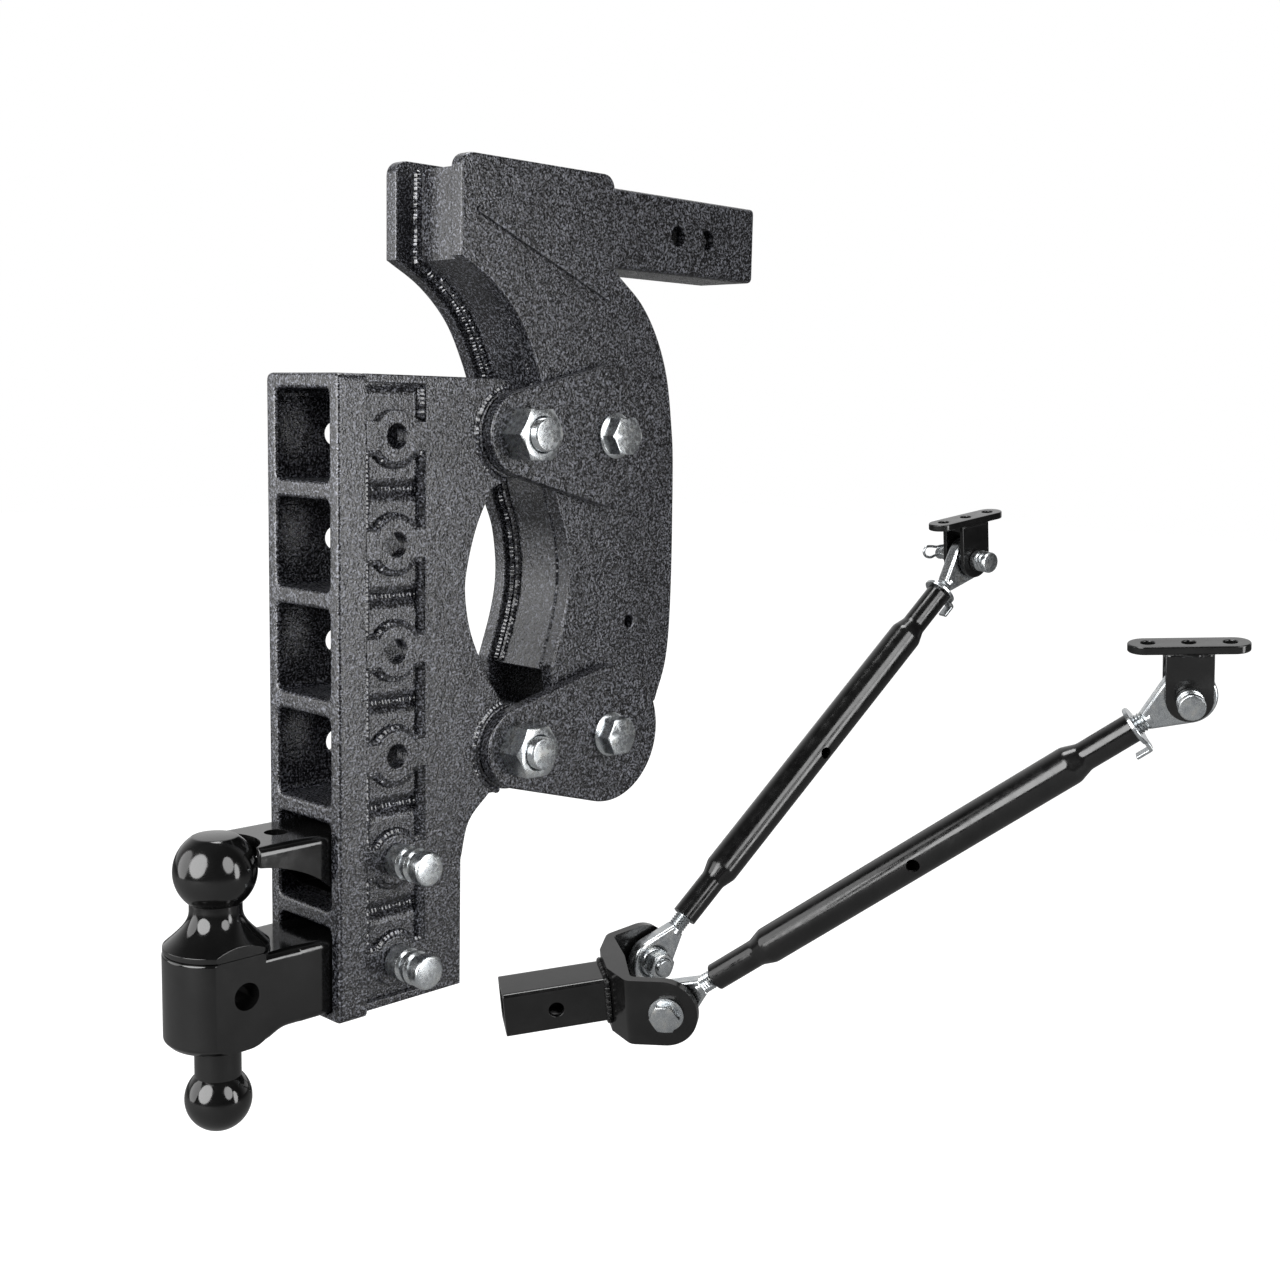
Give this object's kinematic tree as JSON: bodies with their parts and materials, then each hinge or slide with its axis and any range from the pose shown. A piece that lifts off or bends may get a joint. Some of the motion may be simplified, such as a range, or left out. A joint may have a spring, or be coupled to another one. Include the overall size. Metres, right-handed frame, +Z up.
{
  "type": "weight distribution hitch",
  "caption": "Cushioned drop hitch with stacked receiver tubes, a double ball mount on parallel links, and separate turnbuckle stabilizer arms for a travel trailer.",
  "frame": {"origin": "middle of the receiver shank's top face, above the middle of its two pin holes", "axes": "+X towards the tow vehicle along the shank, +Z up, +Y across, away from the side with the pin knobs"},
  "size_m": [1.2337, 0.6812, 0.8621],
  "materials": {
    "hammered_paint": "hammered silver vein powder coat",
    "gloss_paint": "gloss black paint",
    "zinc_plate": "bright zinc plate",
    "bare_steel": "plain turned steel",
    "rubber": "matte natural rubber"
  },
  "bodies": {
    "head": {"shank_tube": "hammered_paint", "head_plate_near": "hammered_paint", "head_plate_far": "hammered_paint", "head_inner_web": "hammered_paint", "head_outer_web": "hammered_paint", "head_stiffening_bar": "hammered_paint", "pivot_sleeve_upper": "bare_steel", "pivot_sleeve_lower": "bare_steel", "kit_shank": "gloss_paint", "kit_yoke": "gloss_paint", "yoke_bolt_near": "zinc_plate", "yoke_bolt_far": "zinc_plate", "yoke_nut_near": "zinc_plate", "yoke_nut_far": "zinc_plate"},
    "upper_link": {"upper_link_near": "hammered_paint", "upper_link_far": "hammered_paint", "torsion_bolt_upper": "zinc_plate", "torsion_nut_upper": "zinc_plate", "pivot_bolt_upper": "zinc_plate", "pivot_nut_upper": "zinc_plate", "clamp_sleeve_upper": "bare_steel"},
    "lower_link": {"lower_link_near": "hammered_paint", "lower_link_far": "hammered_paint", "torsion_bolt_lower": "zinc_plate", "torsion_nut_lower": "zinc_plate", "pivot_bolt_lower": "zinc_plate", "pivot_nut_lower": "zinc_plate", "clamp_sleeve_lower": "bare_steel"},
    "column": {"receiver_collar": "hammered_paint", "receiver_stack": "hammered_paint", "column_plate_near": "hammered_paint", "column_plate_far": "hammered_paint", "bush_housing_upper": "hammered_paint", "bush_housing_lower": "hammered_paint", "rubber_bush_upper": "rubber", "rubber_bush_lower": "rubber", "ball_mount_body": "gloss_paint", "upper_ball": "gloss_paint", "lower_ball": "gloss_paint", "lock_insert": "gloss_paint"},
    "lock_pin": {"lock_pin": "zinc_plate"},
    "lock_clip": {"lock_pin_clip": "zinc_plate"},
    "mount_pin": {"mount_pin": "zinc_plate"},
    "mount_clip": {"mount_pin_clip": "zinc_plate"},
    "lower_eye_near": {"lower_eye_near": "zinc_plate"},
    "turnbuckle_near": {"turnbuckle_near": "gloss_paint"},
    "upper_eye_near": {"upper_eye_near": "zinc_plate"},
    "jam_collar_near": {"jam_collar_near": "zinc_plate"},
    "bracket_near": {"frame_bracket_near": "gloss_paint"},
    "bracket_pin_near": {"bracket_pin_near": "zinc_plate"},
    "bracket_clip_near": {"bracket_pin_clip_near": "zinc_plate"},
    "lower_eye_far": {"lower_eye_far": "zinc_plate"},
    "turnbuckle_far": {"turnbuckle_far": "gloss_paint"},
    "upper_eye_far": {"upper_eye_far": "zinc_plate"},
    "jam_collar_far": {"jam_collar_far": "zinc_plate"},
    "bracket_far": {"frame_bracket_far": "gloss_paint"},
    "bracket_pin_far": {"bracket_pin_far": "zinc_plate"},
    "bracket_clip_far": {"bracket_pin_clip_far": "zinc_plate"}
  },
  "joints": [
    {"name": "upper_link_swing", "type": "hinge", "parent": "head", "child": "upper_link", "pos_m": [-0.1145, 0, -0.19725], "axis": [0, 1, 0], "range_deg": [-18, 3]},
    {"name": "lower_link_swing", "type": "hinge", "parent": "head", "child": "lower_link", "pos_m": [-0.1145, 0, -0.43925], "axis": [0, 1, 0], "range_deg": [-18, 3]},
    {"name": "column_level", "type": "hinge", "parent": "upper_link", "child": "column", "pos_m": [-0.2125, 0, -0.19625], "axis": [0, 1, 0], "range_deg": [-3, 18]},
    {"name": "lock_pin_slide", "type": "slide", "parent": "column", "child": "lock_pin", "axis": [0, -1, 0], "range_m": [0, 0.01]},
    {"name": "lock_clip_pull", "type": "slide", "parent": "lock_pin", "child": "lock_clip", "axis": [0, 0, 1], "range_m": [0, 0.0255]},
    {"name": "mount_pin_slide", "type": "slide", "parent": "column", "child": "mount_pin", "axis": [0, -1, 0], "range_m": [0, 0.01]},
    {"name": "mount_clip_pull", "type": "slide", "parent": "mount_pin", "child": "mount_clip", "axis": [0, 0, 1], "range_m": [0, 0.0255]},
    {"name": "arm_lift_near", "type": "hinge", "parent": "head", "child": "lower_eye_near", "pos_m": [0.20892, 0.16286, -0.81175], "axis": [-0.8393, -0.5206, -0.1568], "range_deg": [-30, 35]},
    {"name": "turnbuckle_turn_near", "type": "hinge", "parent": "lower_eye_near", "child": "turnbuckle_near", "pos_m": [0.20892, 0.16286, -0.81175], "axis": [0.3393, -0.7269, 0.5971], "range_deg": [-288, 1440]},
    {"name": "arm_length_near", "type": "slide", "parent": "lower_eye_near", "child": "upper_eye_near", "axis": [0.3393, -0.7269, 0.5971], "range_m": [-0.00813, 0.04064]},
    {"name": "jam_collar_turn_near", "type": "hinge", "parent": "turnbuckle_near", "child": "jam_collar_near", "pos_m": [0.42401, -0.29799, -0.43318], "axis": [0.3393, -0.7269, 0.5971], "range_deg": [-180, 180]},
    {"name": "bracket_tilt_near", "type": "hinge", "parent": "upper_eye_near", "child": "bracket_near", "pos_m": [0.42401, -0.29799, -0.43318], "axis": [-0.8393, -0.5206, -0.1568], "range_deg": [-45, 40]},
    {"name": "bracket_pin_slide_near", "type": "slide", "parent": "bracket_near", "child": "bracket_pin_near", "axis": [-0.8393, -0.5206, -0.1568], "range_m": [0, 0.01]},
    {"name": "bracket_clip_pull_near", "type": "slide", "parent": "bracket_pin_near", "child": "bracket_clip_near", "axis": [-0.167, -0.0277, 0.9856], "range_m": [0, 0.0255]},
    {"name": "arm_lift_far", "type": "hinge", "parent": "head", "child": "lower_eye_far", "pos_m": [0.27151, 0.25236, -0.79863], "axis": [-0.2075, -0.9762, -0.0626], "range_deg": [-30, 35]},
    {"name": "turnbuckle_turn_far", "type": "hinge", "parent": "lower_eye_far", "child": "turnbuckle_far", "pos_m": [0.27151, 0.25236, -0.79863], "axis": [0.6792, -0.1898, 0.709], "range_deg": [-288, 1440]},
    {"name": "arm_length_far", "type": "slide", "parent": "lower_eye_far", "child": "upper_eye_far", "axis": [0.6792, -0.1898, 0.709], "range_m": [-0.00813, 0.04064]},
    {"name": "jam_collar_turn_far", "type": "hinge", "parent": "turnbuckle_far", "child": "jam_collar_far", "pos_m": [0.70211, 0.13203, -0.34911], "axis": [0.6792, -0.1898, 0.709], "range_deg": [-180, 180]},
    {"name": "bracket_tilt_far", "type": "hinge", "parent": "upper_eye_far", "child": "bracket_far", "pos_m": [0.70211, 0.13203, -0.34911], "axis": [-0.2075, -0.9762, -0.0626], "range_deg": [-45, 40]},
    {"name": "bracket_pin_slide_far", "type": "slide", "parent": "bracket_far", "child": "bracket_pin_far", "axis": [-0.2075, -0.9762, -0.0626], "range_m": [0, 0.01]},
    {"name": "bracket_clip_pull_far", "type": "slide", "parent": "bracket_pin_far", "child": "bracket_clip_far", "axis": [-0.9639, 0.2149, -0.1573], "range_m": [0, 0.0255]}
  ],
  "couplings": [
    {"joint": "lower_link_swing", "follows": "upper_link_swing", "ratio": 1},
    {"joint": "column_level", "follows": "upper_link_swing", "ratio": -1},
    {"joint": "arm_length_near", "follows": "turnbuckle_turn_near", "m_per_rad": 0.001617},
    {"joint": "arm_length_far", "follows": "turnbuckle_turn_far", "m_per_rad": 0.001617}
  ]
}
